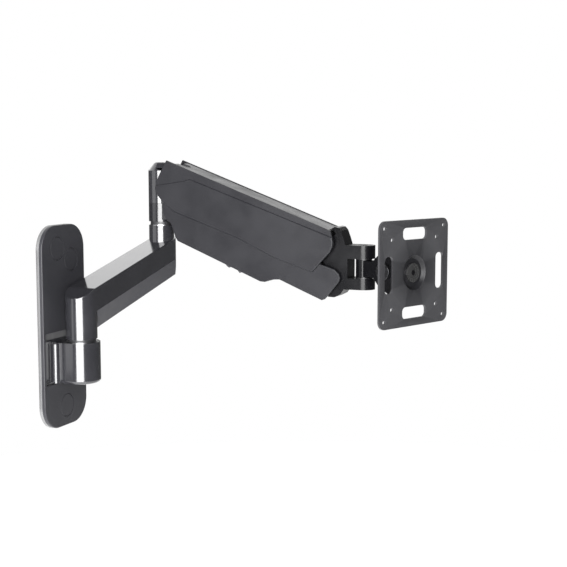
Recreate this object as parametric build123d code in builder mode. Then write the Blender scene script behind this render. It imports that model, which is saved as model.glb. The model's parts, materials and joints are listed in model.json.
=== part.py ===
from build123d import *
from math import cos, sin, radians, degrees, atan2, hypot
import os

# Wall-mounted gas-spring monitor arm, stored in the pose: first arm parallel to
# the wall and rising, gas-spring arm at a right angle to the wall and sloping
# down, screen plate turned a little towards -Y.
# Frame: origin = centre of the wall plate's back face, +X out of the wall,
# +Z up, +Y along the wall.  All lengths in millimetres.

# ------------------------------------------------------------------ dimensions
# wall side
PLATE_W, PLATE_H, PLATE_R, PLATE_T = 81.2, 220.0, 26.0, 4.0
COVER_T, COVER_WALL = 3.9, 1.7            # depth of the plastic cover on the plate
WALL_HOLES = [(-11.5, 85.0), (14.5, 71.5), (1.5, -88.0)]   # (Y, Z) of the wall screws
WALL_HOLE_R = 4.3
CAP_R = 12.3
FLANGE_Z0, FLANGE_Z1 = -59.4, -12.0       # hinge block flange
BLK_Z0, BLK_Z1 = -60.2, -15.75            # hinge block barrel
BLK_R = 20.0
PAD_HW, PAD_X = 24.5, 13.2                # wider root of the block
XH = 28.7                                 # wall hinge axis, distance from the wall
PIN_R = 7.0
# first arm
YE = 182.4                                # elbow axis, distance along Y
ARM_HW = 17.0                             # half width, also the end radius
ARM_SLOPE = 0.2227
KNK_Z0 = -12.3                            # underside of the first knuckle
ARM_TOP0 = 41.93                          # height of the arm's top at Y = 0
ARM_SIDE = 25.2                           # height of the upright side band
ARM_DEEP = 46.8                           # total height of the arm section
COLLAR_R, COLLAR_Z = 15.1, 99.5
# column
COL_R, COL_Z0, COL_STEP, COL_TOP = 15.1, 104.4, 126.0, 175.2
CAP_RO = 15.1
# gas-spring arm, (X, Z) of the four pivots in the rest pose
FU = (241.0, 84.0)
FL = (251.0, 43.0)
LINK, PITCH = 208.5, -21.0
DIR = (cos(radians(PITCH)), sin(radians(PITCH)))
NRM = (-DIR[1], DIR[0])
RU = (FU[0] - LINK * DIR[0], FU[1] - LINK * DIR[1])
RL = (FL[0] - LINK * DIR[0], FL[1] - LINK * DIR[1])
COVER_HW = 23.0                           # half width over the upper covers
# gas spring
GA = (RU[0] + 10.0, RU[1] - 20.7)         # rear anchor
GE = (RU[0] + 160.0 * DIR[0] - 2.0 * NRM[0], RU[1] + 160.0 * DIR[1] - 2.0 * NRM[1])
GAS_L = hypot(GE[0] - GA[0], GE[1] - GA[1])
GAS_A = degrees(atan2(GE[1] - GA[1], GE[0] - GA[0]))
# front bracket and head
SX = 288.0                                # swivel axis
EAR_R = 12.8
EAR_TOP, WIN_TOP, WIN_BOT, EAR_BOT = 83.0, 68.0, 45.6, 32.9
HEAD_YAW = -23.0
TILT_D, TILT_Z = 42.5, 57.0               # swivel axis to tilt axis, tilt axis height
HX = (cos(radians(HEAD_YAW)), sin(radians(HEAD_YAW)))
VESA_W, VESA_T = 116.0, 2.5
VESA_U = 28.5                             # back of the plate, from the tilt axis


def link(origin, a, p):
    """A point a along the sloping link direction and p above it, as (X, Z)."""
    return (origin[0] + a * DIR[0] + p * NRM[0], origin[1] + a * DIR[1] + p * NRM[1])


def side(y):
    """Upright plane facing -Y at distance y, local axes X and Z."""
    return Plane(origin=(0, y, 0), x_dir=(1, 0, 0), z_dir=(0, -1, 0))


def arm_top(y):
    return ARM_TOP0 + ARM_SLOPE * y


MID = side(YE)
LINK_PLANE = Plane(origin=(0, YE, 0), x_dir=(1, 0, 0), z_dir=(0, -1, 0))
# head planes: plan view, side view (along the tilt axis) and plate view
HEAD_PLAN = Plane(origin=(SX, YE, 0), x_dir=(HX[0], HX[1], 0), z_dir=(0, 0, 1))
TILT_P = (SX + TILT_D * HX[0], YE + TILT_D * HX[1], TILT_Z)
TILT_SIDE = Plane(origin=TILT_P, x_dir=(HX[0], HX[1], 0), z_dir=(HX[1], -HX[0], 0))
TILT_FACE = Plane(origin=TILT_P, x_dir=(-HX[1], HX[0], 0), z_dir=(HX[0], HX[1], 0))

os.makedirs("parts", exist_ok=True)

# =============================================================== wall assembly
# --- steel back plate with three wall-screw holes and four block-screw holes
BLOCK_SCREWS = [(-13.0, -27.0), (13.0, -27.0), (-13.0, -49.0), (13.0, -49.0)]
BACK = Plane(origin=(0, 0, 0), x_dir=(0, -1, 0), z_dir=(-1, 0, 0))
with BuildPart() as wall_plate:
    with BuildSketch(Plane.YZ):
        RectangleRounded(PLATE_W, PLATE_H, PLATE_R)
    extrude(amount=PLATE_T)
    chamfer(wall_plate.faces().sort_by(Axis.X)[0].edges(), 0.5)
    with Locations(Plane.YZ.offset(PLATE_T)):
        with Locations(*WALL_HOLES):
            CounterSinkHole(WALL_HOLE_R, 6.6)
    with Locations(BACK):
        with Locations(*[(-y, z) for y, z in BLOCK_SCREWS]):
            CounterSinkHole(3.3, 6.3)
wall_plate.part.label = "wall_plate"
export_step(wall_plate.part, "parts/wall_plate.step")

# --- moulded cover over the plate, with a window for the hinge block
with BuildPart() as wall_cover:
    with BuildSketch(Plane.YZ.offset(PLATE_T)):
        RectangleRounded(PLATE_W, PLATE_H, PLATE_R)
    extrude(amount=COVER_T)
    fillet(wall_cover.faces().sort_by(Axis.X)[-1].edges(), 1.1)
    with BuildSketch(Plane.YZ.offset(PLATE_T)):
        RectangleRounded(PLATE_W - 3.4, PLATE_H - 3.4, PLATE_R - COVER_WALL)
    extrude(amount=COVER_T - COVER_WALL, mode=Mode.SUBTRACT)
    # short collars round the cap holes, down to the plate
    with BuildSketch(Plane.YZ.offset(PLATE_T)):
        with Locations(*WALL_HOLES):
            Circle(CAP_R + 1.6)
    extrude(amount=COVER_T - 0.6)
    with BuildSketch(Plane.YZ.offset(PLATE_T)):
        with Locations((0, (FLANGE_Z0 + FLANGE_Z1) / 2 + 3.2)):
            RectangleRounded(74.6, FLANGE_Z1 - FLANGE_Z0 + 9.0, 2.0)
    extrude(amount=COVER_T, mode=Mode.SUBTRACT)
    with BuildSketch(Plane.YZ.offset(PLATE_T)):
        with Locations(*WALL_HOLES):
            Circle(CAP_R + 0.35)
    extrude(amount=COVER_T, mode=Mode.SUBTRACT)
wall_cover.part.label = "wall_cover"
export_step(wall_cover.part, "parts/wall_cover.step")

# --- snap caps over the wall screws: a disc and a short skirt on the plate
with BuildPart() as screw_caps:
    for hole in WALL_HOLES:
        with BuildSketch(Plane.YZ.offset(PLATE_T)):
            with Locations(hole):
                Circle(CAP_R)
        extrude(amount=COVER_T - 0.15)
        with BuildSketch(Plane.YZ.offset(PLATE_T)):
            with Locations(hole):
                Circle(CAP_R - 1.6)
        extrude(amount=COVER_T - 0.15 - 1.5, mode=Mode.SUBTRACT)
    chamfer(screw_caps.faces().filter_by(Axis.X).group_by(Axis.X)[-1].edges(), 0.4)
screw_caps.part.label = "screw_caps"
export_step(screw_caps.part, "parts/screw_caps.step")

# --- hinge block: base flange on the plate and a barrel round the hinge axis
with BuildPart() as hinge_block:
    with BuildSketch(Plane.YZ.offset(PLATE_T)):
        with Locations((0, (FLANGE_Z0 + FLANGE_Z1) / 2)):
            RectangleRounded(72.6, FLANGE_Z1 - FLANGE_Z0, 3.0)
    extrude(amount=2.5)
    # relief grooves beside the block
    for s in (-1, 1):
        with BuildSketch(Plane.YZ.offset(PLATE_T + 0.6)):
            with Locations((s * (PAD_HW + 1.7), (FLANGE_Z0 + FLANGE_Z1) / 2)):
                Rectangle(3.4, FLANGE_Z1 - FLANGE_Z0 - 3.0)
        extrude(amount=3.0, mode=Mode.SUBTRACT)
    with BuildSketch(Plane.XY.offset(BLK_Z0)):
        with Locations(((PLATE_T + XH) / 2, 0)):
            Rectangle(XH - PLATE_T, 2 * BLK_R)
        with Locations((XH, 0)):
            Circle(BLK_R)
    extrude(amount=BLK_Z1 - BLK_Z0)
    bottom = hinge_block.edges().filter_by(Plane.XY).group_by(Axis.Z)[0]
    fillet(bottom.filter_by(lambda e: e.center().X > PLATE_T + 1.0), 3.6)
    top = hinge_block.edges().filter_by(Plane.XY).group_by(Axis.Z)[-1]
    fillet(top.filter_by(lambda e: e.center().X > PLATE_T + 1.0), 0.8)
    # wider root of the block with rounded shoulders
    with BuildSketch(Plane.XY.offset(FLANGE_Z0 + 0.3)):
        with Locations(((PLATE_T + PAD_X) / 2, 0)):
            Rectangle(PAD_X - PLATE_T, 2 * PAD_HW)
        fillet(vertices().sort_by(Axis.X)[-2:], 4.4)
    extrude(amount=BLK_Z1 - 1.0 - FLANGE_Z0 - 0.3)
    with Locations(Plane(origin=(XH, 0, BLK_Z1), z_dir=(0, 0, 1))):
        Hole(PIN_R, depth=42.0)
    with Locations(Plane(origin=(PLATE_T, 0, 0), x_dir=(0, -1, 0), z_dir=(-1, 0, 0))):
        with Locations(*[(-y, z) for y, z in BLOCK_SCREWS]):
            Hole(3.03, depth=12.5)
hinge_block.part.label = "hinge_block"
export_step(hinge_block.part, "parts/hinge_block.step")

# --- countersunk screws that hold the hinge block from behind the plate
with BuildPart() as block_screws:
    for y, z in BLOCK_SCREWS:
        with BuildSketch(Plane(origin=(0, y, z), x_dir=(1, 0, 0), z_dir=(0, 0, 1))):
            with BuildLine():
                Polyline((0.3, 0), (0.3, 5.8), (3.1, 3.0), (15.6, 3.0), (16.2, 2.4), (16.2, 0), close=True)
            make_face()
        revolve(axis=Axis((0, y, z), (1, 0, 0)))
        with BuildSketch(Plane(origin=(0.3, y, z), x_dir=(0, 1, 0), z_dir=(1, 0, 0))):
            RegularPolygon(2.3, 6)
        extrude(amount=2.4, mode=Mode.SUBTRACT)
block_screws.part.label = "block_screws"
export_step(block_screws.part, "parts/block_screws.step")

# --- upright hinge pin, pressed into the block, with a retaining groove
with BuildPart() as wall_hinge_pin:
    with BuildSketch(Plane(origin=(XH, 0, 0), x_dir=(1, 0, 0), z_dir=(0, -1, 0))):
        with BuildLine():
            Polyline((0, -57.0), (6.2, -57.0), (PIN_R, -56.2), (PIN_R, 4.6), (5.6, 5.2), (5.6, 10.8),
                     (PIN_R, 11.4), (PIN_R, 24.8), (6.0, 25.8), (0, 25.8), close=True)
        make_face()
    revolve(axis=Axis((XH, 0, 0), (0, 0, 1)))
wall_hinge_pin.part.label = "wall_hinge_pin"
export_step(wall_hinge_pin.part, "parts/wall_hinge_pin.step")

# --- steel thrust washer on the block
with BuildPart() as hinge_washer:
    with BuildSketch(Plane.XY.offset(BLK_Z1)):
        with Locations((XH, 0)):
            Circle(16.4)
            Circle(PIN_R + 0.05, mode=Mode.SUBTRACT)
    extrude(amount=1.0)
    chamfer(hinge_washer.edges().filter_by(GeomType.CIRCLE).sort_by(SortBy.RADIUS)[-2:], 0.2)
hinge_washer.part.label = "hinge_washer"
export_step(hinge_washer.part, "parts/hinge_washer.step")

# ================================================================== first arm
TRIM = Plane.XY.offset(-20)
with BuildPart() as arm_casting:
    with BuildSketch(TRIM):
        with Locations((XH, YE / 2)):
            SlotCenterToCenter(YE, 2 * ARM_HW, rotation=90)
    extrude(amount=150)
    # side profile of the upper band: ramp over the knuckle, then the long slope
    with BuildSketch(Plane.YZ.offset(XH)):
        with BuildLine():
            Polyline((-18.0, 32.2), (-16.2, 32.9), (1.5, arm_top(1.5)), (YE + 18, arm_top(YE + 18)),
                     (YE + 18, arm_top(YE + 18) - ARM_SIDE), (0, arm_top(0) - ARM_SIDE),
                     (-18, arm_top(0) - ARM_SIDE), close=True)
        make_face()
    extrude(amount=20, both=True, mode=Mode.INTERSECT)
    # soften the long top edges
    fillet(arm_casting.faces().filter_by(lambda f: f.normal_at().Z > 0.5).edges(), 0.8)
    # knuckle cylinder below the band
    with BuildSketch(Plane.XY.offset(KNK_Z0)):
        with Locations((XH, 0)):
            Circle(ARM_HW)
    extrude(amount=32.0)
    # collar at the elbow
    with BuildSketch(Plane.XY.offset(arm_top(YE) - 12)):
        with Locations((XH, YE)):
            Circle(COLLAR_R)
    extrude(amount=COLLAR_Z - arm_top(YE) + 12)
    # cable channel from below
    with BuildSketch(Plane.YZ.offset(XH)):
        with BuildLine():
            Polyline((22, arm_top(22) - 4.0), (YE - 19, arm_top(YE - 19) - 4.0),
                     (YE - 19, arm_top(YE - 19) - 40), (22, arm_top(22) - 40), close=True)
        make_face()
    extrude(amount=13.6, both=True, mode=Mode.SUBTRACT)
    # two screw posts inside the channel
    for y in (52.0, 128.0):
        with BuildSketch(Plane.XY.offset(arm_top(y) - ARM_SIDE + 1.2)):
            with Locations((XH, y)):
                Circle(4.2)
        extrude(amount=ARM_SIDE - 3.0)
    # bore for the wall bush, pin bore at the elbow, set-screw hole
    with BuildSketch(Plane.XY.offset(KNK_Z0)):
        with Locations((XH, 0)):
            Circle(9.5)
    extrude(amount=39.0, mode=Mode.SUBTRACT)
    with BuildSketch(Plane.XY.offset(COLLAR_Z)):
        with Locations((XH, YE)):
            Circle(PIN_R)
    extrude(amount=-38.0, mode=Mode.SUBTRACT)
    with BuildSketch(Plane.YZ.offset(XH - 20)):
        with Locations((0, 8.0)):
            Circle(3.03)
    extrude(amount=14.0, mode=Mode.SUBTRACT)
    for y in (52.0, 128.0):
        with BuildSketch(Plane.XY.offset(arm_top(y) - ARM_SIDE)):
            with Locations((XH, y)):
                Circle(1.53)
        extrude(amount=11.0, mode=Mode.SUBTRACT)
arm_casting.part.label = "arm_casting"
export_step(arm_casting.part, "parts/arm_casting.step")

# --- flanged bush pressed into the knuckle, turning on the wall pin
with BuildPart() as knuckle_bush:
    with BuildSketch(Plane.XY.offset(KNK_Z0)):
        with Locations((XH, 0)):
            Circle(9.5)
    extrude(amount=37.0)
    with BuildSketch(Plane.XY.offset(KNK_Z0)):
        with Locations((XH, 0)):
            Circle(15.4)
    extrude(amount=-2.4)
    with BuildSketch(Plane.XY.offset(KNK_Z0 - 5)):
        with Locations((XH, 0)):
            Circle(PIN_R + 0.05)
    extrude(amount=60, mode=Mode.SUBTRACT)
    with BuildSketch(Plane.YZ.offset(XH - 20)):
        with Locations((0, 8.0)):
            Circle(3.03)
    extrude(amount=14.0, mode=Mode.SUBTRACT)
knuckle_bush.part.label = "knuckle_bush"
export_step(knuckle_bush.part, "parts/knuckle_bush.step")

# --- set screw whose tip rides in the pin's groove and keeps the arm on
with BuildPart() as knuckle_set_screw:
    with BuildSketch(Plane(origin=(XH, 0, 8.0), x_dir=(1, 0, 0), z_dir=(0, 0, 1))):
        with BuildLine():
            Polyline((-16.4, 0), (-16.4, 3.0), (-8.0, 3.0), (-7.2, 2.2), (-6.0, 2.2), (-6.0, 0), close=True)
        make_face()
    revolve(axis=Axis((XH, 0, 8.0), (1, 0, 0)))
    with BuildSketch(Plane(origin=(XH - 16.4, 0, 8.0), x_dir=(0, 1, 0), z_dir=(1, 0, 0))):
        RegularPolygon(1.7, 6)
    extrude(amount=3.0, mode=Mode.SUBTRACT)
knuckle_set_screw.part.label = "knuckle_set_screw"
export_step(knuckle_set_screw.part, "parts/knuckle_set_screw.step")

# --- moulded trough under the arm that hides the cable channel
def trough(hw_top, hw_bot, z_top, z_bot, y):
    """Cross-section of the trough at distance y, as (X, Z) points."""
    z = arm_top(y)
    return [(XH - hw_top, z - z_top), (XH + hw_top, z - z_top), (XH + hw_bot, z - z_bot), (XH - hw_bot, z - z_bot)]


with BuildPart() as arm_cable_cover:
    with BuildSketch(side(0)):
        with BuildLine():
            Polyline(*trough(ARM_HW, 11.6, ARM_SIDE + 0.1, ARM_DEEP, 0), close=True)
        make_face()
    extrude(amount=1.06 * (YE + 25), dir=(0, 1, ARM_SLOPE))
    with BuildSketch(Plane.XY.offset(-20)):
        with Locations((XH, YE / 2)):
            SlotCenterToCenter(YE, 2 * ARM_HW, rotation=90)
    extrude(amount=150, mode=Mode.INTERSECT)
    with BuildSketch(Plane.XY.offset(-20)):
        with Locations((XH, 0)):
            Circle(ARM_HW + 0.35)
    extrude(amount=80, mode=Mode.SUBTRACT)
    with BuildSketch(side(20.5)):
        with BuildLine():
            Polyline(*trough(14.4, 9.4, ARM_SIDE - 1, ARM_DEEP - 2.2, 20.5), close=True)
        make_face()
    extrude(amount=1.0245 * (YE + 8 - 20.5), dir=(0, 1, ARM_SLOPE), mode=Mode.SUBTRACT)
    for y in (52.0, 128.0):
        with BuildSketch(Plane.XY.offset(arm_top(y) - ARM_DEEP + 1.0)):
            with Locations((XH, y)):
                Circle(4.2)
        extrude(amount=ARM_DEEP - ARM_SIDE - 1.2)
        with BuildSketch(Plane.XY.offset(arm_top(y) - ARM_DEEP - 3)):
            with Locations((XH, y)):
                Circle(1.6)
        extrude(amount=40, mode=Mode.SUBTRACT)
        with BuildSketch(Plane.XY.offset(arm_top(y) - ARM_DEEP - 3)):
            with Locations((XH, y)):
                Circle(3.0)
        extrude(amount=7.0, mode=Mode.SUBTRACT)
arm_cable_cover.part.label = "arm_cable_cover"
export_step(arm_cable_cover.part, "parts/arm_cable_cover.step")

with BuildPart() as cable_cover_screws:
    for y in (52.0, 128.0):
        z0 = arm_top(y) - ARM_DEEP + 2.0
        with BuildSketch(Plane(origin=(XH, y, z0), x_dir=(1, 0, 0), z_dir=(0, -1, 0))):
            with BuildLine():
                Polyline((0, 0), (2.3, 0), (2.8, 0.6), (2.8, 2.0), (1.5, 2.0), (1.5, 28.6), (0.9, 29.4), (0, 29.4), close=True)
            make_face()
        revolve(axis=Axis((XH, y, z0), (0, 0, 1)))
        with BuildSketch(Plane.XY.offset(z0)):
            with Locations((XH, y)):
                Rectangle(3.0, 0.7)
                Rectangle(0.7, 3.0)
        extrude(amount=1.2, mode=Mode.SUBTRACT)
cable_cover_screws.part.label = "cable_cover_screws"
export_step(cable_cover_screws.part, "parts/cable_cover_screws.step")

# --- elbow pin pressed into the arm's collar
with BuildPart() as elbow_pin:
    with BuildSketch(Plane(origin=(XH, YE, 0), x_dir=(1, 0, 0), z_dir=(0, -1, 0))):
        with BuildLine():
            Polyline((0, 62.2), (6.2, 62.2), (PIN_R, 63.0), (PIN_R, 113.4), (5.6, 114.0), (5.6, 119.6),
                     (PIN_R, 120.2), (PIN_R, 145.0), (6.0, 146.0), (0, 146.0), close=True)
        make_face()
    revolve(axis=Axis((XH, YE, 0), (0, 0, 1)))
elbow_pin.part.label = "elbow_pin"
export_step(elbow_pin.part, "parts/elbow_pin.step")

with BuildPart() as elbow_washer:
    with BuildSketch(Plane.XY.offset(COLLAR_Z)):
        with Locations((XH, YE)):
            Circle(14.0)
            Circle(PIN_R + 0.05, mode=Mode.SUBTRACT)
    extrude(amount=1.0)
elbow_washer.part.label = "elbow_washer"
export_step(elbow_washer.part, "parts/elbow_washer.step")

# ===================================================================== column
CHK_I, CHK_O = 9.8, 13.0          # cheek faces, distance from the arm's mid plane
with BuildPart() as column:
    with BuildSketch(Plane.XY.offset(COL_Z0)):
        with Locations((XH, YE)):
            Circle(COL_R)
    extrude(amount=COL_STEP - COL_Z0)
    with BuildSketch(Plane.XY.offset(COL_STEP)):
        with Locations((XH, YE)):
            Circle(12.7)
    extrude(amount=36.0)
    # two cheeks that carry the pivots
    with BuildSketch(MID):
        with BuildLine():
            Polyline((XH + 2, 106.0), (RL[0] + 2.0, RL[1] - 9.0), (RL[0] + 9.0, RL[1] - 2.0), (RL[0] + 9.0, 141.0),
                     (RU[0] + 14.6, 157.0), (RU[0] + 14.6, 161.0), (RU[0], RU[1] + 7.6), (XH + 2, RU[1] + 4.0), close=True)
        make_face()
        with Locations(RU):
            Circle(7.6)
        with Locations(RL):
            Circle(9.2)
    extrude(amount=CHK_O, both=True)
    # slot between the cheeks for the gas spring and its anchor
    with BuildSketch(Plane.XY.offset(108.0)):
        with Locations((XH + 13.0 + 20, YE)):
            Rectangle(40, 2 * CHK_I)
    extrude(amount=70, mode=Mode.SUBTRACT)
    # bridges that guide the tension screw
    with BuildSketch(Plane.XY.offset(150.4)):
        with Locations((GA[0] - 0.6, YE)):
            Rectangle(10.6, 2 * CHK_I + 2)
    extrude(amount=5.6)
    with BuildSketch(Plane.XY.offset(124.4)):
        with Locations((GA[0] - 0.6, YE)):
            Rectangle(10.6, 2 * CHK_I + 2)
    extrude(amount=3.6)
    with BuildSketch(Plane.XY.offset(120)):
        with Locations((GA[0], YE)):
            Circle(4.06)
    extrude(amount=50, mode=Mode.SUBTRACT)
    # bore for the elbow bush and pin
    with BuildSketch(Plane.XY.offset(COL_Z0)):
        with Locations((XH, YE)):
            Circle(8.6)
    extrude(amount=43.5, mode=Mode.SUBTRACT)
    # pivot holes
    with BuildSketch(MID):
        with Locations(RU):
            Circle(3.5)
        with Locations(RL):
            Circle(3.5)
    extrude(amount=30, both=True, mode=Mode.SUBTRACT)
    # set-screw hole at the back
    with BuildSketch(Plane.YZ.offset(XH - 20)):
        with Locations((YE, 116.8)):
            Circle(3.03)
    extrude(amount=14.0, mode=Mode.SUBTRACT)
column.part.label = "column"
export_step(column.part, "parts/column.step")

# --- moulded sleeve over the column head, slotted at the front for the cheeks
with BuildPart() as column_cap:
    with BuildSketch(Plane(origin=(XH, YE, 0), x_dir=(1, 0, 0), z_dir=(0, -1, 0))):
        with BuildLine():
            Polyline((12.9, COL_STEP + 0.3), (CAP_RO, COL_STEP + 0.3), (CAP_RO, 165.4), (8.0, 174.4), (6.6, COL_TOP),
                     (0, COL_TOP), (0, 172.6), (6.4, 172.6), (12.9, 164.2), close=True)
        make_face()
    revolve(axis=Axis((XH, YE, 0), (0, 0, 1)))
    with BuildSketch(Plane.XY.offset(COL_STEP)):
        with Locations((XH + 0.8 + 20, YE)):
            Rectangle(40, 2 * CHK_O + 0.8)
    extrude(amount=42.5, mode=Mode.SUBTRACT)
column_cap.part.label = "column_cap"
export_step(column_cap.part, "parts/column_cap.step")

with BuildPart() as elbow_bush:
    with BuildSketch(Plane.XY.offset(COL_Z0)):
        with Locations((XH, YE)):
            Circle(8.6)
    extrude(amount=41.0)
    with BuildSketch(Plane.XY.offset(COL_Z0)):
        with Locations((XH, YE)):
            Circle(13.2)
    extrude(amount=-3.8)
    with BuildSketch(Plane.XY.offset(COL_Z0 - 6)):
        with Locations((XH, YE)):
            Circle(PIN_R + 0.05)
    extrude(amount=60, mode=Mode.SUBTRACT)
    with BuildSketch(Plane.YZ.offset(XH - 20)):
        with Locations((YE, 116.8)):
            Circle(3.03)
    extrude(amount=14.0, mode=Mode.SUBTRACT)
elbow_bush.part.label = "elbow_bush"
export_step(elbow_bush.part, "parts/elbow_bush.step")

with BuildPart() as column_set_screw:
    with BuildSketch(Plane(origin=(XH, YE, 116.8), x_dir=(1, 0, 0), z_dir=(0, 0, 1))):
        with BuildLine():
            Polyline((-14.2, 0), (-14.2, 3.0), (-8.0, 3.0), (-7.2, 2.2), (-6.0, 2.2), (-6.0, 0), close=True)
        make_face()
    revolve(axis=Axis((XH, YE, 116.8), (1, 0, 0)))
    with BuildSketch(Plane(origin=(XH - 14.2, YE, 116.8), x_dir=(0, 1, 0), z_dir=(1, 0, 0))):
        RegularPolygon(1.7, 6)
    extrude(amount=3.0, mode=Mode.SUBTRACT)
column_set_screw.part.label = "column_set_screw"
export_step(column_set_screw.part, "parts/column_set_screw.step")

# --- rear pivot pins, fixed in the column's cheeks
with BuildPart() as rear_upper_pin:
    with BuildSketch(side(YE)):
        with Locations(RU):
            Circle(3.5)
    extrude(amount=20.3, both=True)
    chamfer(rear_upper_pin.edges().filter_by(GeomType.CIRCLE), 0.6)
rear_upper_pin.part.label = "rear_upper_pin"
export_step(rear_upper_pin.part, "parts/rear_upper_pin.step")

with BuildPart() as rear_lower_pin:
    with BuildSketch(side(YE)):
        with Locations(RL):
            Circle(3.5)
    extrude(amount=17.3, both=True)
    chamfer(rear_lower_pin.edges().filter_by(GeomType.CIRCLE), 0.6)
rear_lower_pin.part.label = "rear_lower_pin"
export_step(rear_lower_pin.part, "parts/rear_lower_pin.step")

# --- anchor nut on the tension screw, with two trunnions for the gas spring
with BuildPart() as anchor_nut:
    with BuildSketch(Plane.XY.offset(GA[1] - 6.8)):
        with Locations((GA[0], YE)):
            RectangleRounded(13.0, 13.6, 1.0)
    extrude(amount=13.6)
    with BuildSketch(side(YE)):
        with Locations(GA):
            Circle(3.4)
    extrude(amount=9.4, both=True)
    with BuildSketch(Plane.XY.offset(GA[1] - 10)):
        with Locations((GA[0], YE)):
            Circle(4.06)
    extrude(amount=20, mode=Mode.SUBTRACT)
anchor_nut.part.label = "anchor_nut"
export_step(anchor_nut.part, "parts/anchor_nut.step")

# --- tension screw with a hex socket at the top
with BuildPart() as tension_screw:
    with BuildSketch(Plane(origin=(GA[0], YE, 0), x_dir=(1, 0, 0), z_dir=(0, -1, 0))):
        with BuildLine():
            Polyline((0, 122.6), (3.2, 122.6), (4.0, 123.4), (4.0, 156.1), (6.3, 156.1), (6.3, 160.4), (5.7, 161.0),
                     (0, 161.0), close=True)
        make_face()
    revolve(axis=Axis((GA[0], YE, 0), (0, 0, 1)))
    with BuildSketch(Plane.XY.offset(161.0)):
        with Locations((GA[0], YE)):
            RegularPolygon(3.4, 6)
    extrude(amount=-3.4, mode=Mode.SUBTRACT)
tension_screw.part.label = "tension_screw"
export_step(tension_screw.part, "parts/tension_screw.step")

# ================================================================= upper beam
TOP_A = (48.8, 177.1)                     # rear top corner of the covers
TOP_B = (255.0, 99.8)                     # front top corner of the covers


def top_line(x, drop=0.0):
    """Height of the covers' straight top edge at x, lowered by drop."""
    t = (x - TOP_A[0]) / (TOP_B[0] - TOP_A[0])
    return TOP_A[1] + t * (TOP_B[1] - TOP_A[1]) - drop


WEB_I, WEB_O = 17.0, 19.4
with BuildPart() as upper_channel:
    with BuildSketch(side(YE)):
        with BuildLine():
            Polyline((56.6, top_line(56.6, 0.5)), (251.4, top_line(251.4, 0.5)), link(FU, 6.5, 3.0), link(FU, 0, -8.0),
                     link(RU, 0, -7.0), link(RU, -6.0, 3.0), link(RU, 0.0, 8.0), close=True)
        make_face()
        with Locations(RU):
            Circle(7.2)
        with Locations(FU):
            Circle(8.0)
    extrude(amount=WEB_O, both=True)
    with BuildSketch(side(YE)):
        with BuildLine():
            Polyline((30, top_line(30, 3.4)), (262, top_line(262, 3.4)), (262, 20), (30, 90), close=True)
        make_face()
    extrude(amount=WEB_I, both=True, mode=Mode.SUBTRACT)
    # notch in the top web that reaches the tension screw
    with BuildSketch(Plane.XY.offset(150)):
        with Locations((GA[0], YE)):
            SlotOverall(24.0, 14.0)
    extrude(amount=40, mode=Mode.SUBTRACT)
    with BuildSketch(side(YE)):
        with Locations(RU):
            Circle(5.0)
        with Locations(FU):
            Circle(5.0)
        with Locations(GE):
            Circle(3.0)
    extrude(amount=30, both=True, mode=Mode.SUBTRACT)
upper_channel.part.label = "upper_channel"
export_step(upper_channel.part, "parts/upper_channel.step")

# --- pair of moulded side covers on the beam
UPPER_OUT = [(47.9, 177.6), (38.0, 160.6), (33.8, 150.6), (32.4, 144.4), (33.7, 139.0), (41.4, 129.6), (57.4, 117.0),
             (87.0, 106.6), (139.0, 88.6), (187.0, 66.6), (233.2, 51.8), (247.9, 67.8), (254.7, 75.0), (257.8, 81.0),
             (258.5, 86.5), (257.4, 91.6), (255.0, 99.9)]


def beam_cover(name, sgn):
    with BuildPart() as shell:
        with BuildSketch(side(YE + sgn * 19.6)):
            with BuildLine():
                Polyline(*UPPER_OUT, close=True)
            make_face()
            fillet(shell_corners(vertices()), 3.0)
        extrude(amount=-sgn * 3.4)
        # rounded outer rim
        outer = shell.faces().sort_by(Axis.Y)[-1 if sgn > 0 else 0]
        fillet(outer.edges(), 1.3)
        # top band set back behind a sloping step
        with BuildSketch(side(YE + sgn * COVER_HW)):
            with BuildLine():
                Polyline((79.0, 155.1), (257.0, 91.5), (270.0, 86.9), (270.0, 120.0), (40.0, 200.0), (10.0, 160.0),
                         (20.0, 145.3), (72.0, 153.0), close=True)
            make_face()
        extrude(amount=sgn * 0.9, taper=45, mode=Mode.SUBTRACT)
        # hollow behind the skin, leaving a rim along the top and both ends
        with BuildSketch(side(YE + sgn * 19.6)):
            with BuildLine():
                Polyline(*UPPER_OUT, close=True)
            make_face()
            offset(amount=-2.6, mode=Mode.REPLACE)
        extrude(amount=-sgn * 1.4, mode=Mode.SUBTRACT)
        # the lower edge is a plain skin, so that the lower cover can slide up behind it
        with BuildSketch(side(YE + sgn * 19.6)):
            with BuildLine():
                Polyline((30, 140.0), (57.4, 124.0), (139.0, 97.0), (233.2, 62.0), (262, 84.0), (262, 30), (30, 100), close=True)
            make_face()
        extrude(amount=-sgn * 1.2, mode=Mode.SUBTRACT)
    shell.part.label = name
    export_step(shell.part, "parts/" + name + ".step")
    return shell


def shell_corners(vs):
    """The two obtuse front and nose corners that are rounded in the flat outline."""
    return vs.filter_by(lambda v: hypot(v.X - 233.2, v.Y - 51.8) < 0.5 or hypot(v.X - 32.4, v.Y - 144.4) < 0.5)


upper_cover_left = beam_cover("upper_cover_left", -1)
upper_cover_right = beam_cover("upper_cover_right", 1)

# --- flanged bushes between the beam's webs and the pivot pins
for name, origin in (("beam_rear_bushes", RU), ("beam_front_bushes", FU)):
    with BuildPart() as bushes:
        for s in (-1, 1):
            with BuildSketch(side(YE + s * WEB_O)):
                with Locations(origin):
                    Circle(5.0)
            extrude(amount=s * (WEB_O - WEB_I))
            with BuildSketch(side(YE + s * WEB_I)):
                with Locations(origin):
                    Circle(6.6)
            extrude(amount=s * 0.9)
        with BuildSketch(side(YE)):
            with Locations(origin):
                Circle(3.55)
        extrude(amount=30, both=True, mode=Mode.SUBTRACT)
    bushes.part.label = name
    export_step(bushes.part, "parts/" + name + ".step")

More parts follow.
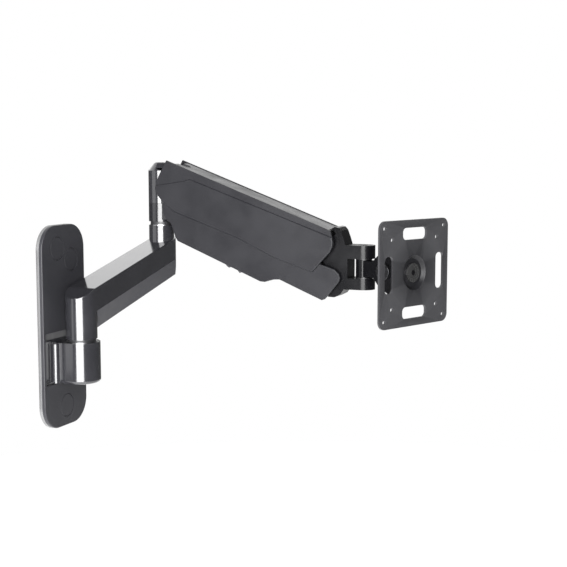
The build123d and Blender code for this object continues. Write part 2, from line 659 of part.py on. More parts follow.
with BuildPart() as gas_rod_pin:
    with BuildSketch(side(YE)):
        with Locations(GE):
            Circle(3.0)
    extrude(amount=19.5, both=True)
gas_rod_pin.part.label = "gas_rod_pin"
export_step(gas_rod_pin.part, "parts/gas_rod_pin.step")

# ================================================================= lower link
LWEB_I, LWEB_O = 13.6, 15.9
with BuildPart() as lower_channel:
    with BuildSketch(side(YE)):
        with BuildLine():
            Polyline(link(RL, 0, 8.0), link(FL, 0, 8.0), link(FL, 6.0, 0), link(FL, -6.0, -8.0), link(FL, -22.0, -12.0),
                     link(RL, 20.0, -12.0), link(RL, 6.0, -8.0), link(RL, -6.0, 0), close=True)
        make_face()
        with Locations(RL):
            Circle(8.0)
        with Locations(FL):
            Circle(8.0)
    extrude(amount=LWEB_O, both=True)
    with BuildSketch(side(YE)):
        with BuildLine():
            Polyline(link(RL, -20, 30), link(FL, 20, 30), link(FL, 20, -30), link(FL, -20.0, -30), link(FL, -20, -9.6),
                     link(RL, 18, -9.6), link(RL, 18, -30), link(RL, -20, -30), close=True)
        make_face()
    extrude(amount=LWEB_I, both=True, mode=Mode.SUBTRACT)
    with BuildSketch(side(YE)):
        with Locations(RL):
            Circle(4.8)
        with Locations(FL):
            Circle(4.8)
    extrude(amount=30, both=True, mode=Mode.SUBTRACT)
lower_channel.part.label = "lower_channel"
export_step(lower_channel.part, "parts/lower_channel.step")

with BuildPart() as link_bushes:
    for origin in (RL, FL):
        for s in (-1, 1):
            with BuildSketch(side(YE + s * LWEB_O)):
                with Locations(origin):
                    Circle(6.2)
            extrude(amount=-s * 0.8)
            with BuildSketch(side(YE + s * LWEB_O)):
                with Locations(origin):
                    Circle(4.8)
            extrude(amount=s * (LWEB_O - LWEB_I))
    with BuildSketch(side(YE)):
        with Locations(RL):
            Circle(3.55)
        with Locations(FL):
            Circle(3.55)
    extrude(amount=30, both=True, mode=Mode.SUBTRACT)
link_bushes.part.label = "link_bushes"
export_step(link_bushes.part, "parts/link_bushes.step")

# --- moulded trough on the lower link
LOWER_OUT = [(41.2, 121.5), (42.6, 113.7), (46.1, 107.7), (51.8, 102.7), (55.0, 95.5), (57.4, 87.4), (60.8, 82.3),
             (106.1, 63.8), (167.9, 38.4), (173.7, 38.0), (183.0, 41.2), (192.3, 41.6), (215.5, 31.9), (244.2, 20.2),
             (247.8, 21.4), (252.6, 26.6), (258.0, 33.5), (264.8, 41.7), (266.3, 46.1), (264.7, 51.1), (259.4, 56.0),
             (251.8, 58.5)]
LOWER_TOP = [link(FL, -14.0, 14.0), link(RL, 6.0, 14.0), (46.0, 131.0), (42.0, 127.5)]
LC_I, LC_O = 17.7, 20.1
with BuildPart() as lower_cover:
    with BuildSketch(side(YE)):
        with BuildLine():
            Polyline(*LOWER_OUT, *LOWER_TOP, close=True)
        make_face()
    extrude(amount=LC_O, both=True)
    for s in (-1, 1):
        rim = lower_cover.faces().filter_by(Axis.Y).sort_by(Axis.Y)[-1 if s > 0 else 0]
        fillet(rim.edges(), 1.0)
    # inside: follows the outline, open at the top, at the rear and at the front
    with BuildSketch(side(YE)):
        with BuildLine():
            Polyline((20.0, 100.0), (54.4, 103.6), (57.4, 96.0), (59.6, 89.0), (62.6, 84.2), (107.0, 66.0), (168.4, 40.8),
                     (173.4, 40.4), (182.6, 43.6), (192.8, 44.0), (216.4, 34.2), (228.0, 29.4), (234.0, 0), (290, 10),
                     (290, 80), link(FL, 20.0, 30.0), link(RL, -10, 40.0), (20, 160), close=True)
        make_face()
    extrude(amount=LC_I, both=True, mode=Mode.SUBTRACT)
    # slot in the floor for the cable clip
    with BuildSketch(Plane.XY.offset(20)):
        with Locations((129.0, YE)):
            Rectangle(30.0, 20.0)
    extrude(amount=70, mode=Mode.SUBTRACT)
lower_cover.part.label = "lower_cover"
export_step(lower_cover.part, "parts/lower_cover.step")

# --- cable clip: a tray in the slot with two finger tabs below
FLOOR = lambda x: 63.8 - 0.4110 * (x - 106.1)
with BuildPart() as cable_clip:
    with BuildSketch(side(YE)):
        with BuildLine():
            Polyline((112.0, FLOOR(112.0) + 2.7), (146.0, FLOOR(146.0) + 2.7), (146.0, FLOOR(146.0) + 4.3),
                     (112.0, FLOOR(112.0) + 4.3), close=True)
        make_face()
    extrude(amount=12.0, both=True)
    with BuildSketch(side(YE)):
        with BuildLine():
            Polyline((115.6, FLOOR(115.6) + 3.0), (116.4, FLOOR(116.4) - 0.4), (120.6, FLOOR(120.6) - 4.0),
                     (123.4, FLOOR(123.4) - 4.9), (125.2, FLOOR(125.2) - 2.4), (127.6, FLOOR(127.6) + 3.0), close=True)
        make_face()
        with BuildLine():
            Polyline((130.4, FLOOR(130.4) + 3.0), (131.6, FLOOR(131.6) - 0.4), (135.2, FLOOR(135.2) - 3.4),
                     (137.2, FLOOR(137.2) - 4.9), (138.6, FLOOR(138.6) - 2.0), (140.6, FLOOR(140.6) + 3.0), close=True)
        make_face()
    extrude(amount=9.6, both=True)
    # snap hooks of the clip: solid blocks that fill the slot's ends
    with BuildSketch(side(YE)):
        with BuildLine():
            Polyline((114.4, FLOOR(114.4) + 0.3), (143.6, FLOOR(143.6) + 0.3), (143.6, FLOOR(143.6) + 2.6),
                     (114.4, FLOOR(114.4) + 2.6), close=True)
        make_face()
    extrude(amount=9.7, both=True)
cable_clip.part.label = "cable_clip"
export_step(cable_clip.part, "parts/cable_clip.step")

# ================================================================= gas spring
GD = (cos(radians(GAS_A)), sin(radians(GAS_A)))
GAS_AXIS = Plane(origin=(GA[0], YE, GA[1]), x_dir=(GD[0], 0, GD[1]), z_dir=(0, -1, 0))
with BuildPart() as gas_cylinder:
    with BuildSketch(GAS_AXIS):
        with BuildLine():
            Polyline((17.0, 0), (17.0, 6.4), (19.0, 9.0), (101.0, 9.0), (102.6, 7.6), (103.4, 9.0), (106.0, 9.0),
                     (106.0, 7.4), (104.0, 7.4), (22.0, 7.4), (22.0, 0), close=True)
        make_face()
    revolve(axis=Axis((GA[0], YE, GA[1]), (GD[0], 0, GD[1])))
    # fork on the anchor's trunnions
    with BuildSketch(GAS_AXIS):
        with Locations((0, 0)):
            Circle(6.6)
        with Locations((9.5, 0)):
            Rectangle(19.0, 10.0)
    extrude(amount=9.3, both=True)
    with BuildSketch(GAS_AXIS):
        with Locations((3.5, 0)):
            Rectangle(27.0, 30.0)
    extrude(amount=7.1, both=True, mode=Mode.SUBTRACT)
    with BuildSketch(GAS_AXIS):
        Circle(3.45)
    extrude(amount=12, both=True, mode=Mode.SUBTRACT)
gas_cylinder.part.label = "gas_cylinder"
export_step(gas_cylinder.part, "parts/gas_cylinder.step")

with BuildPart() as cylinder_gland:
    with BuildSketch(GAS_AXIS):
        with BuildLine():
            Polyline((98.0, 4.05), (98.0, 7.4), (106.0, 7.4), (107.2, 6.2), (107.2, 4.05), close=True)
        make_face()
    revolve(axis=Axis((GA[0], YE, GA[1]), (GD[0], 0, GD[1])))
cylinder_gland.part.label = "cylinder_gland"
export_step(cylinder_gland.part, "parts/cylinder_gland.step")

with BuildPart() as gas_rod:
    with BuildSketch(GAS_AXIS):
        with BuildLine():
            Polyline((56.0, 0), (56.0, 7.3), (62.0, 7.3), (62.0, 4.0), (GAS_L - 9.0, 4.0), (GAS_L - 9.0, 0), close=True)
        make_face()
    revolve(axis=Axis((GA[0], YE, GA[1]), (GD[0], 0, GD[1])))
gas_rod.part.label = "gas_rod"
export_step(gas_rod.part, "parts/gas_rod.step")

with BuildPart() as rod_eye:
    with BuildSketch(GAS_AXIS):
        with Locations((GAS_L, 0)):
            Circle(9.6)
        with Locations((GAS_L - 12.0, 0)):
            Rectangle(8.0, 11.0)
    extrude(amount=5.0, both=True)
    with BuildSketch(GAS_AXIS):
        with Locations((GAS_L, 0)):
            Circle(6.8)
    extrude(amount=8.0, both=True, mode=Mode.SUBTRACT)
    with BuildSketch(Plane(origin=(GA[0] + (GAS_L - 18) * GD[0], YE, GA[1] + (GAS_L - 18) * GD[1]), x_dir=(0, 1, 0),
                           z_dir=(GD[0], 0, GD[1]))):
        Circle(4.0)
    extrude(amount=9.0, mode=Mode.SUBTRACT)
rod_eye.part.label = "rod_eye"
export_step(rod_eye.part, "parts/rod_eye.step")

# ============================================================== front bracket
with BuildPart() as front_bracket:
    # body between the links and the fork
    with BuildSketch(side(YE)):
        with BuildLine():
            Polyline((252.4, 101.2), (257.6, 103.6), (261.2, 102.8), (264.4, 99.2), (267.6, 90.6), (270.0, 83.0),
                     (276.0, 83.0), (276.0, EAR_BOT), (268.4, EAR_BOT), (264.0, 26.8), (257.0, 23.4), (250.0, 23.6),
                     (247.6, 26.0), (246.0, 34.0), (241.4, 43.0), (246.0, 60.0), (233.0, 78.0), (233.0, 90.0), (240.0, 93.0),
                     (256.0, 92.4), (254.6, 96.0), (251.0, 100.0), close=True)
        make_face()
        with Locations(FU):
            Circle(9.4)
        with Locations(FL):
            Circle(9.4)
    extrude(amount=EAR_R, both=True)
    # fork: two rounded ears
    with BuildSketch(Plane.XY.offset(EAR_BOT)):
        with Locations((SX - 10, YE)):
            Rectangle(20, 2 * EAR_R)
        with Locations((SX, YE)):
            Circle(EAR_R)
    extrude(amount=EAR_TOP - EAR_BOT)
    # soften the long outline edges
    # gap between the ears
    with BuildSketch(Plane.XY.offset(WIN_BOT)):
        with Locations((272.6 + 20, YE)):
            Rectangle(40, 40)
    extrude(amount=WIN_TOP - WIN_BOT, mode=Mode.SUBTRACT)
    # room for the beam's top web, on an arc about the upper pivot
    with BuildSketch(side(YE)):
        with Locations(FU):
            Circle(21.3)
            Circle(16.2, mode=Mode.SUBTRACT)
        with BuildLine():
            Polyline(FU, (FU[0] + 50.3, FU[1] + 32.7), (FU[0] + 50, FU[1] + 90), (FU[0] - 80, FU[1] + 90),
                     (FU[0] - 80, FU[1] - 25), close=True)
        make_face(mode=Mode.INTERSECT)
    extrude(amount=20, both=True, mode=Mode.SUBTRACT)
    # bores
    with BuildSketch(side(YE)):
        with Locations(FU):
            Circle(3.5)
        with Locations(FL):
            Circle(3.5)
    extrude(amount=20, both=True, mode=Mode.SUBTRACT)
    with BuildSketch(Plane.XY.offset(EAR_BOT - 2)):
        with Locations((SX, YE)):
            Circle(4.5)
    extrude(amount=60, mode=Mode.SUBTRACT)
front_bracket.part.label = "front_bracket"
export_step(front_bracket.part, "parts/front_bracket.step")

with BuildPart() as front_upper_pin:
    with BuildSketch(side(YE)):
        with Locations(FU):
            Circle(3.5)
    extrude(amount=20.3, both=True)
    chamfer(front_upper_pin.edges().filter_by(GeomType.CIRCLE), 0.6)
front_upper_pin.part.label = "front_upper_pin"
export_step(front_upper_pin.part, "parts/front_upper_pin.step")

with BuildPart() as front_lower_pin:
    with BuildSketch(side(YE)):
        with Locations(FL):
            Circle(3.5)
    extrude(amount=17.3, both=True)
    chamfer(front_lower_pin.edges().filter_by(GeomType.CIRCLE), 0.6)
front_lower_pin.part.label = "front_lower_pin"
export_step(front_lower_pin.part, "parts/front_lower_pin.step")

# --- swivel pin through the fork, flush at the top, headed below
with BuildPart() as swivel_pin:
    with BuildSketch(Plane(origin=(SX, YE, 0), x_dir=(1, 0, 0), z_dir=(0, -1, 0))):
        with BuildLine():
            Polyline((0, EAR_BOT + 0.6), (3.9, EAR_BOT + 0.6), (4.5, EAR_BOT + 1.2), (4.5, EAR_TOP - 1.2),
                     (3.9, EAR_TOP - 0.6), (0, EAR_TOP - 0.6), close=True)
        make_face()
    revolve(axis=Axis((SX, YE, 0), (0, 0, 1)))
swivel_pin.part.label = "swivel_pin"
export_step(swivel_pin.part, "parts/swivel_pin.step")

with BuildPart() as swivel_washers:
    for z in (WIN_BOT, WIN_TOP - 0.9):
        with BuildSketch(Plane.XY.offset(z)):
            with Locations((SX, YE)):
                Circle(9.6)
                Circle(4.55, mode=Mode.SUBTRACT)
        extrude(amount=0.9)
swivel_washers.part.label = "swivel_washers"
export_step(swivel_washers.part, "parts/swivel_washers.step")

# ============================================================== head knuckle
with BuildPart() as head_knuckle:
    with BuildSketch(HEAD_PLAN.offset(WIN_BOT + 1.0)):
        Circle(9.2)
    extrude(amount=WIN_TOP - WIN_BOT - 2.0)
    with BuildSketch(HEAD_PLAN.offset(WIN_BOT + 2.2)):
        with Locations((TILT_D / 2, 0)):
            Rectangle(TILT_D, 15.0)
    extrude(amount=WIN_TOP - WIN_BOT - 4.4)
    with BuildSketch(TILT_SIDE):
        Circle(11.4)
    extrude(amount=11.0, both=True)
    with BuildSketch(HEAD_PLAN.offset(WIN_BOT)):
        Circle(6.0)
    extrude(amount=30, mode=Mode.SUBTRACT)
    with BuildSketch(TILT_SIDE):
        Circle(4.05)
    extrude(amount=30, both=True, mode=Mode.SUBTRACT)
head_knuckle.part.label = "head_knuckle"
export_step(head_knuckle.part, "parts/head_knuckle.step")

with BuildPart() as swivel_bush:
    with BuildSketch(HEAD_PLAN.offset(WIN_BOT + 1.0)):
        Circle(6.0)
        Circle(4.55, mode=Mode.SUBTRACT)
    extrude(amount=WIN_TOP - WIN_BOT - 2.0)
swivel_bush.part.label = "swivel_bush"
export_step(swivel_bush.part, "parts/swivel_bush.step")

# ============================================================== tilt bracket
CHK_IN, CHK_OUT = 12.0, 15.2
CHEEK = [(-16.4, 9.6), (-14.3, 12.7), (-8.8, 17.3), (4.3, 22.0), (11.6, 23.6), (24.0, 25.4), (24.0, -33.0), (17.6, -32.6),
         (11.0, -27.8), (1.2, -22.3), (-8.8, -16.2), (-14.3, -10.0), (-16.4, -7.6)]
with BuildPart() as tilt_bracket:
    with BuildSketch(TILT_SIDE):
        with BuildLine():
            Polyline(*CHEEK, close=True)
        make_face()
        fillet(vertices().filter_by(lambda v: v.X < 5), 2.2)
    extrude(amount=CHK_OUT, both=True)
    fillet(tilt_bracket.faces().filter_by(TILT_SIDE).edges().filter_by(lambda e: e.center().Z < 200), 0.8)
    with BuildSketch(TILT_SIDE):
        with Locations((0.6, 0)):
            Rectangle(40.0, 90.0)
    extrude(amount=CHK_IN, both=True, mode=Mode.SUBTRACT)
    # recess for the bolt head in the near cheek's boss, and the bolt holes
    with BuildSketch(TILT_SIDE):
        Circle(4.0)
    extrude(amount=30, both=True, mode=Mode.SUBTRACT)
    with BuildSketch(TILT_FACE.offset(18)):
        Circle(6.0)
    extrude(amount=12, mode=Mode.SUBTRACT)
tilt_bracket.part.label = "tilt_bracket"
export_step(tilt_bracket.part, "parts/tilt_bracket.step")

# --- socket-head tilt bolt with a deep round recess in its head
with BuildPart() as tilt_bolt:
    with BuildSketch(TILT_SIDE.offset(-21.0)):
        Circle(4.0)
    extrude(amount=21.0 + CHK_OUT)
    with BuildSketch(TILT_SIDE.offset(CHK_OUT)):
        Circle(9.6)
    extrude(amount=3.2)
    fillet(tilt_bolt.edges().filter_by(GeomType.CIRCLE).sort_by(SortBy.RADIUS)[-1], 0.7)
    with BuildSketch(TILT_SIDE.offset(CHK_OUT + 3.2)):
        Circle(6.9)
    extrude(amount=-1.6, mode=Mode.SUBTRACT)
    with BuildSketch(TILT_SIDE.offset(CHK_OUT + 1.8)):
        RegularPolygon(3.6, 6)
    extrude(amount=-4.0, mode=Mode.SUBTRACT)
tilt_bolt.part.label = "tilt_bolt"
export_step(tilt_bolt.part, "parts/tilt_bolt.step")

with BuildPart() as tilt_nut:
    with BuildSketch(TILT_SIDE.offset(-CHK_OUT)):
        RegularPolygon(7.4, 6)
        Circle(4.0, mode=Mode.SUBTRACT)
    extrude(amount=-5.2)
tilt_nut.part.label = "tilt_nut"
export_step(tilt_nut.part, "parts/tilt_nut.step")

with BuildPart() as tilt_washers:
    for s in (-1, 1):
        with BuildSketch(TILT_SIDE.offset(s * CHK_IN)):
            Circle(10.4)
            Circle(4.05, mode=Mode.SUBTRACT)
        extrude(amount=-s * 0.9)
tilt_washers.part.label = "tilt_washers"
export_step(tilt_washers.part, "parts/tilt_washers.step")

# --- plate pivot: shouldered bolt, washers and nut along the plate's normal
with BuildPart() as plate_pivot_bolt:
    with BuildSketch(TILT_FACE.offset(15.0)):
        Circle(4.0)
    extrude(amount=5.6)
    with BuildSketch(TILT_FACE.offset(20.6)):
        Circle(6.0)
    extrude(amount=7.2)
    with BuildSketch(TILT_FACE.offset(27.7)):
        Circle(10.5)
    extrude(amount=1.9)
    with BuildSketch(TILT_FACE.offset(29.6)):
        RegularPolygon(3.4, 6)
    extrude(amount=-2.6, mode=Mode.SUBTRACT)
plate_pivot_bolt.part.label = "plate_pivot_bolt"
export_step(plate_pivot_bolt.part, "parts/plate_pivot_bolt.step")

with BuildPart() as plate_pivot_nut:
    with BuildSketch(TILT_FACE.offset(20.6)):
        RegularPolygon(7.4, 6)
        Circle(4.0, mode=Mode.SUBTRACT)
    extrude(amount=-4.4)
plate_pivot_nut.part.label = "plate_pivot_nut"
export_step(plate_pivot_nut.part, "parts/plate_pivot_nut.step")

with BuildPart() as plate_washer:
    with BuildSketch(TILT_FACE.offset(24.0)):
        Circle(14.0)
        Circle(6.05, mode=Mode.SUBTRACT)
    extrude(amount=0.9)
plate_washer.part.label = "plate_washer"
export_step(plate_washer.part, "parts/plate_washer.step")

# ================================================================ screen plate
with BuildPart() as vesa_plate:
    with BuildSketch(TILT_FACE.offset(VESA_U)):
        RectangleRounded(VESA_W, VESA_W, 9.0)
        Circle(19.5, mode=Mode.SUBTRACT)
        with PolarLocations(43.0, 4):
            RectangleRounded(13.0, 40.0, 5.0, mode=Mode.SUBTRACT)
    extrude(amount=VESA_T)
    # dished centre that takes the pivot bolt's head below the face
    with BuildSketch(Plane(origin=TILT_P, x_dir=(HX[0], HX[1], 0), z_dir=(HX[1], -HX[0], 0))):
        with BuildLine():
            Polyline((25.0, 6.05), (25.0, 17.0), (VESA_U, 21.0), (VESA_U, 23.5), (VESA_U + VESA_T, 23.5),
                     (VESA_U + VESA_T, 19.2), (27.5, 15.6), (27.5, 6.05), close=True)
        make_face()
    revolve(axis=Axis(TILT_P, (HX[0], HX[1], 0)))
    with Locations(TILT_FACE.offset(VESA_U + VESA_T)):
        with GridLocations(100, 100, 2, 2):
            Hole(2.3, depth=6)
        with GridLocations(75, 75, 2, 2):
            Hole(2.3, depth=6)
vesa_plate.part.label = "vesa_plate"
export_step(vesa_plate.part, "parts/vesa_plate.step")

print("RU", [round(v, 3) for v in RU], "RL", [round(v, 3) for v in RL], "GA", [round(v, 3) for v in GA],
      "GE", [round(v, 3) for v in GE], "gas length", round(GAS_L, 3), "gas angle", round(GAS_A, 3))
print("tilt axis", [round(v, 3) for v in TILT_P])
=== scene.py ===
import bpy, bmesh, json, math
from mathutils import Vector, Matrix


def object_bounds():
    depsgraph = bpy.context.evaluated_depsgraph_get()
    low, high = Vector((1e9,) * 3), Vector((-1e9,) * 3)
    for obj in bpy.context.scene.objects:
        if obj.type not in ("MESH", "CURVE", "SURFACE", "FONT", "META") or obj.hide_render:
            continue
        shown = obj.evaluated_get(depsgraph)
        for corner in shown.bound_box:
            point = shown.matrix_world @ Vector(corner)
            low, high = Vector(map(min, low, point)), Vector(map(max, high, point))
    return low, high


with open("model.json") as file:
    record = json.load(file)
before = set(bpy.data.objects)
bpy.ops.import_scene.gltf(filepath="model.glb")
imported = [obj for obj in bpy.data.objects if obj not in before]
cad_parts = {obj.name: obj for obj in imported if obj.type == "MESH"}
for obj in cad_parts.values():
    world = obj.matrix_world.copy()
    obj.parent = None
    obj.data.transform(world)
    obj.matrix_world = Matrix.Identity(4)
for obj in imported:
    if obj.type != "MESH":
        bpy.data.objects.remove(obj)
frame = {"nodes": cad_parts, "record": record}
cad_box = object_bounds()
N = frame["nodes"]
scene = bpy.context.scene
scene.view_settings.view_transform = "Standard"
scene.view_settings.look = "None"

# ------------------------------------------------------------------ materials
def lin(v):
    return tuple(((c / 255) / 12.92 if c / 255 <= 0.04045 else ((c / 255 + 0.055) / 1.055) ** 2.4) for c in v)


def material(name, base, rough=0.4, metal=0.0, grain=900.0, grain_depth=0.05, mottle=0.12, coat=0.0, coat_rough=0.15,
             spec=0.5, streak=None, edge_highlight=None, fine_rough=0.08, aniso=0.0):
    """A procedural surface: mottled colour, fine grain in the bump, uneven gloss, and optional streaks and painted
    highlights on convex edges.
    """
    m = bpy.data.materials.new(name)
    m.use_nodes = True
    nt = m.node_tree
    nt.nodes.clear()
    out = nt.nodes.new("ShaderNodeOutputMaterial")
    bs = nt.nodes.new("ShaderNodeBsdfPrincipled")
    nt.links.new(bs.outputs[0], out.inputs[0])
    tc = nt.nodes.new("ShaderNodeTexCoord")
    mp = nt.nodes.new("ShaderNodeMapping")
    nt.links.new(tc.outputs["Object"], mp.inputs[0])
    big = nt.nodes.new("ShaderNodeTexNoise")
    big.inputs["Scale"].default_value = 35.0
    big.inputs["Detail"].default_value = 4.0
    nt.links.new(mp.outputs[0], big.inputs["Vector"])
    small = nt.nodes.new("ShaderNodeTexNoise")
    small.inputs["Scale"].default_value = grain
    small.inputs["Detail"].default_value = 3.0
    src = mp
    if streak:
        mp2 = nt.nodes.new("ShaderNodeMapping")
        mp2.inputs["Scale"].default_value = streak
        nt.links.new(tc.outputs["Object"], mp2.inputs[0])
        src = mp2
    nt.links.new(src.outputs[0], small.inputs["Vector"])
    # colour
    ramp = nt.nodes.new("ShaderNodeValToRGB")
    b = base if max(base) <= 1.0 else lin(base)
    lo = tuple(c * (1 - mottle) for c in b) + (1,)
    hi = tuple(min(1, c * (1 + mottle)) for c in b) + (1,)
    ramp.color_ramp.elements[0].position = 0.35
    ramp.color_ramp.elements[1].position = 0.65
    ramp.color_ramp.elements[0].color = lo
    ramp.color_ramp.elements[1].color = hi
    nt.links.new(big.outputs["Fac"], ramp.inputs[0])
    col = ramp.outputs[0]
    grain_mix = nt.nodes.new("ShaderNodeMix")
    grain_mix.data_type = "RGBA"
    grain_mix.blend_type = "MULTIPLY"
    grain_mix.inputs[0].default_value = 0.35
    gr = nt.nodes.new("ShaderNodeValToRGB")
    gr.color_ramp.elements[0].position = 0.3
    gr.color_ramp.elements[1].position = 0.7
    gr.color_ramp.elements[0].color = (0.72, 0.72, 0.72, 1)
    gr.color_ramp.elements[1].color = (1, 1, 1, 1)
    nt.links.new(small.outputs["Fac"], gr.inputs[0])
    nt.links.new(col, grain_mix.inputs[6])
    nt.links.new(gr.outputs[0], grain_mix.inputs[7])
    col = grain_mix.outputs[2]
    # painted highlight: convex edges, found by pointiness, are blended toward a lighter colour that stands in for
    # light catching them
    if edge_highlight:
        geo = nt.nodes.new("ShaderNodeNewGeometry")
        edge_highlight_ramp = nt.nodes.new("ShaderNodeValToRGB")
        edge_highlight_ramp.color_ramp.elements[0].position = 0.53
        edge_highlight_ramp.color_ramp.elements[1].position = 0.62
        nt.links.new(geo.outputs["Pointiness"], edge_highlight_ramp.inputs[0])
        edge_highlight_mask = nt.nodes.new("ShaderNodeMath")
        edge_highlight_mask.operation = "MULTIPLY"
        edge_highlight_mask.inputs[1].default_value = 0.5
        nt.links.new(edge_highlight_ramp.outputs[0], edge_highlight_mask.inputs[0])
        mix = nt.nodes.new("ShaderNodeMix")
        mix.data_type = "RGBA"
        nt.links.new(edge_highlight_mask.outputs[0], mix.inputs[0])
        nt.links.new(col, mix.inputs[6])
        mix.inputs[7].default_value = (lin(edge_highlight) if max(edge_highlight) > 1 else edge_highlight) + (1,)
        col = mix.outputs[2]
    nt.links.new(col, bs.inputs["Base Color"])
    # gloss
    rr = nt.nodes.new("ShaderNodeMapRange")
    rr.inputs["From Min"].default_value = 0.3
    rr.inputs["From Max"].default_value = 0.7
    rr.inputs["To Min"].default_value = max(0.02, rough - fine_rough)
    rr.inputs["To Max"].default_value = min(1, rough + fine_rough)
    nt.links.new(big.outputs["Fac"], rr.inputs[0])
    nt.links.new(rr.outputs[0], bs.inputs["Roughness"])
    bs.inputs["Metallic"].default_value = metal
    bs.inputs["Specular IOR Level"].default_value = spec
    bs.inputs["Coat Weight"].default_value = coat
    bs.inputs["Coat Roughness"].default_value = coat_rough
    if aniso:
        bs.inputs["Anisotropic"].default_value = aniso
    bump = nt.nodes.new("ShaderNodeBump")
    bump.inputs["Strength"].default_value = grain_depth
    bump.inputs["Distance"].default_value = 0.0003
    nt.links.new(small.outputs["Fac"], bump.inputs["Height"])
    nt.links.new(bump.outputs[0], bs.inputs["Normal"])
    return m


# plate_grey, satin_black and dark_steel carry a lighter edge colour, which paints highlights on their convex edges
M = {
    "cover_plastic": material("cover_plastic", (26, 26, 29), 0.42, 0, 1500, 0.25, 0.06, spec=0.18),
    "wall_plastic": material("wall_plastic", (40, 40, 43), 0.36, 0, 1300, 0.18, 0.05, spec=0.25),
    "trim_plastic": material("trim_plastic", (44, 44, 48), 0.38, 0, 1200, 0.15, 0.06, spec=0.3),
    "cap_gloss": material("cap_gloss", (34, 34, 37), 0.16, 0, 1100, 0.06, 0.06, coat=0.6, coat_rough=0.04, fine_rough=0.04),
    "plate_grey": material("plate_grey", (74, 74, 76), 0.42, 0.4, 900, 0.12, 0.08, spec=0.4, edge_highlight=(150, 150, 150)),
    "cast_black": material("cast_black", (34, 34, 37), 0.18, 0.1, 1100, 0.07, 0.06, coat=0.6, coat_rough=0.04, fine_rough=0.04),
    "gloss_cast": material("gloss_cast", (28, 28, 30), 0.16, 0.1, 900, 0.05, 0.06, coat=0.6, coat_rough=0.03, fine_rough=0.04),
    "satin_black": material("satin_black", (22, 22, 24), 0.38, 0.1, 1200, 0.16, 0.08, spec=0.22, edge_highlight=(70, 70, 72)),
    "bracket_black": material("bracket_black", (9, 9, 11), 0.30, 0.0, 1000, 0.08, 0.07, spec=0.12, coat=0.10, coat_rough=0.12),
    "column_black": material("column_black", (24, 24, 27), 0.20, 0.0, 1000, 0.06, 0.06, spec=0.35, coat=0.4, coat_rough=0.05, fine_rough=0.04),
    "steel": material("steel", (150, 150, 152), 0.28, 1.0, 700, 0.10, 0.08, streak=(1, 1, 12), aniso=0.3),
    "dark_steel": material("dark_steel", (52, 52, 54), 0.30, 0.9, 800, 0.12, 0.10, edge_highlight=(130, 130, 130)),
    "bush_plastic": material("bush_plastic", (30, 30, 32), 0.40, 0, 900, 0.08, 0.05),
    "chrome": material("chrome", (205, 206, 210), 0.10, 1.0, 900, 0.03, 0.03, fine_rough=0.03),
    "cylinder_paint": material("cylinder_paint", (36, 36, 38), 0.28, 0.2, 900, 0.10, 0.06, coat=0.3),
}

SLOT = {s["node"]: s["material_slot"] for s in frame["record"]["subparts"]}
for name, o in N.items():
    key = SLOT.get(name, "cast_black")
    if name in ("wall_cover", "screw_caps"):
        key = "wall_plastic"
    if name == "gas_cylinder":
        key = "cylinder_paint"
    if name == "column_cap":
        key = "cap_gloss"
    if name in ("upper_channel", "lower_channel", "vesa_plate"):
        key = "satin_black"
    if name in ("front_bracket", "tilt_bracket", "head_knuckle"):
        key = "bracket_black"
    if name == "column":
        key = "column_black"
    o.data.materials.clear()
    o.data.materials.append(M[key])

# ---------------------------------------------------------------- soft edges
for name, o in N.items():
    b = o.modifiers.new("edge", "BEVEL")
    b.width = 0.0006 if name.startswith(("upper_cover", "lower_cover", "front_bracket", "tilt_bracket")) else 0.0004
    b.segments = 2
    b.limit_method = "ANGLE"
    b.angle_limit = math.radians(35)
    b.harden_normals = False

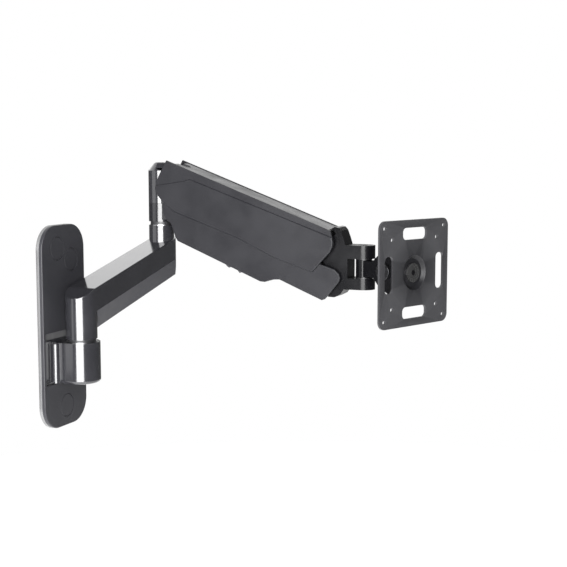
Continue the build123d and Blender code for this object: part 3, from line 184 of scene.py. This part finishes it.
# --------------------------------------------------------------------- floor
lo, hi = cad_box
zf = lo[2] - 0.75
me = bpy.data.meshes.new("floor")
bm = bmesh.new()
bmesh.ops.create_circle(bm, cap_ends=True, cap_tris=False, segments=96, radius=2.6)
bm.to_mesh(me)
bm.free()
floor = bpy.data.objects.new("floor", me)
scene.collection.objects.link(floor)
floor.location = (0.15, 0.35, zf)
fm = bpy.data.materials.new("floor_pale")
fm.use_nodes = True
fb = fm.node_tree.nodes["Principled BSDF"]
fb.inputs["Base Color"].default_value = (0.93, 0.93, 0.93, 1)
fb.inputs["Roughness"].default_value = 0.9
fb.inputs["Specular IOR Level"].default_value = 0.1
fb.inputs["Emission Color"].default_value = (1, 1, 1, 1)
fb.inputs["Emission Strength"].default_value = 0.6
me.materials.append(fm)

# -------------------------------------------------------------------- lights
# white behind the object, a dimmer studio for what the object reflects
w = bpy.data.worlds.new("studio")
scene.world = w
w.use_nodes = True
wt = w.node_tree
bg = wt.nodes["Background"]
bg.inputs[0].default_value = (1, 1, 1, 1)
lp = wt.nodes.new("ShaderNodeLightPath")
wmix = wt.nodes.new("ShaderNodeMix")
wmix.data_type = "FLOAT"
wmix.inputs[2].default_value = 0.13
wmix.inputs[3].default_value = 1.0
wt.links.new(lp.outputs["Is Camera Ray"], wmix.inputs[0])
wt.links.new(wmix.outputs[0], bg.inputs[1])


def area(name, loc, target, size, radiance, size_y):
    """A softbox whose face has the given brightness."""
    l = bpy.data.lights.new(name, "AREA")
    l.energy = radiance * math.pi * size * size_y
    l.shape = "RECTANGLE"
    l.size = size
    l.size_y = size_y
    o = bpy.data.objects.new(name, l)
    scene.collection.objects.link(o)
    o.location = loc
    d = Vector(target) - Vector(loc)
    o.rotation_euler = d.to_track_quat("-Z", "Y").to_euler()
    return o


# tall softbox by the camera, for the upright highlights on the round parts
area("front_box", (0.72, -1.90, 0.35), (0.12, 0.05, 0.10), 1.75, 19.0, 1.9)
# soft panel on the left, for the flat sides
area("left_box", (-1.55, -1.60, 0.30), (0.1, 0.1, 0.05), 1.6, 1.45, 1.6)
# overhead panel, leaning from behind, for the top faces
area("top_box", (-0.75, 1.30, 1.45), (0.12, 0.1, 0.05), 3.4, 1.55, 2.7)

# -------------------------------------------------------------------- camera
az, el = math.radians(22.6), math.radians(6.53)
back = Vector((math.sin(az) * math.cos(el), -math.cos(az) * math.cos(el), math.sin(el)))
cam = bpy.data.cameras.new("camera")
cam.sensor_width = 36.0
cam.lens = 1155.86 / 567 * 36.0
cam.clip_start = 0.01
cam.clip_end = 50
co = bpy.data.objects.new("camera", cam)
scene.collection.objects.link(co)
co.location = (0.7050, -1.0567, 0.1885)
co.rotation_euler = back.to_track_quat("Z", "Y").to_euler()
scene.camera = co
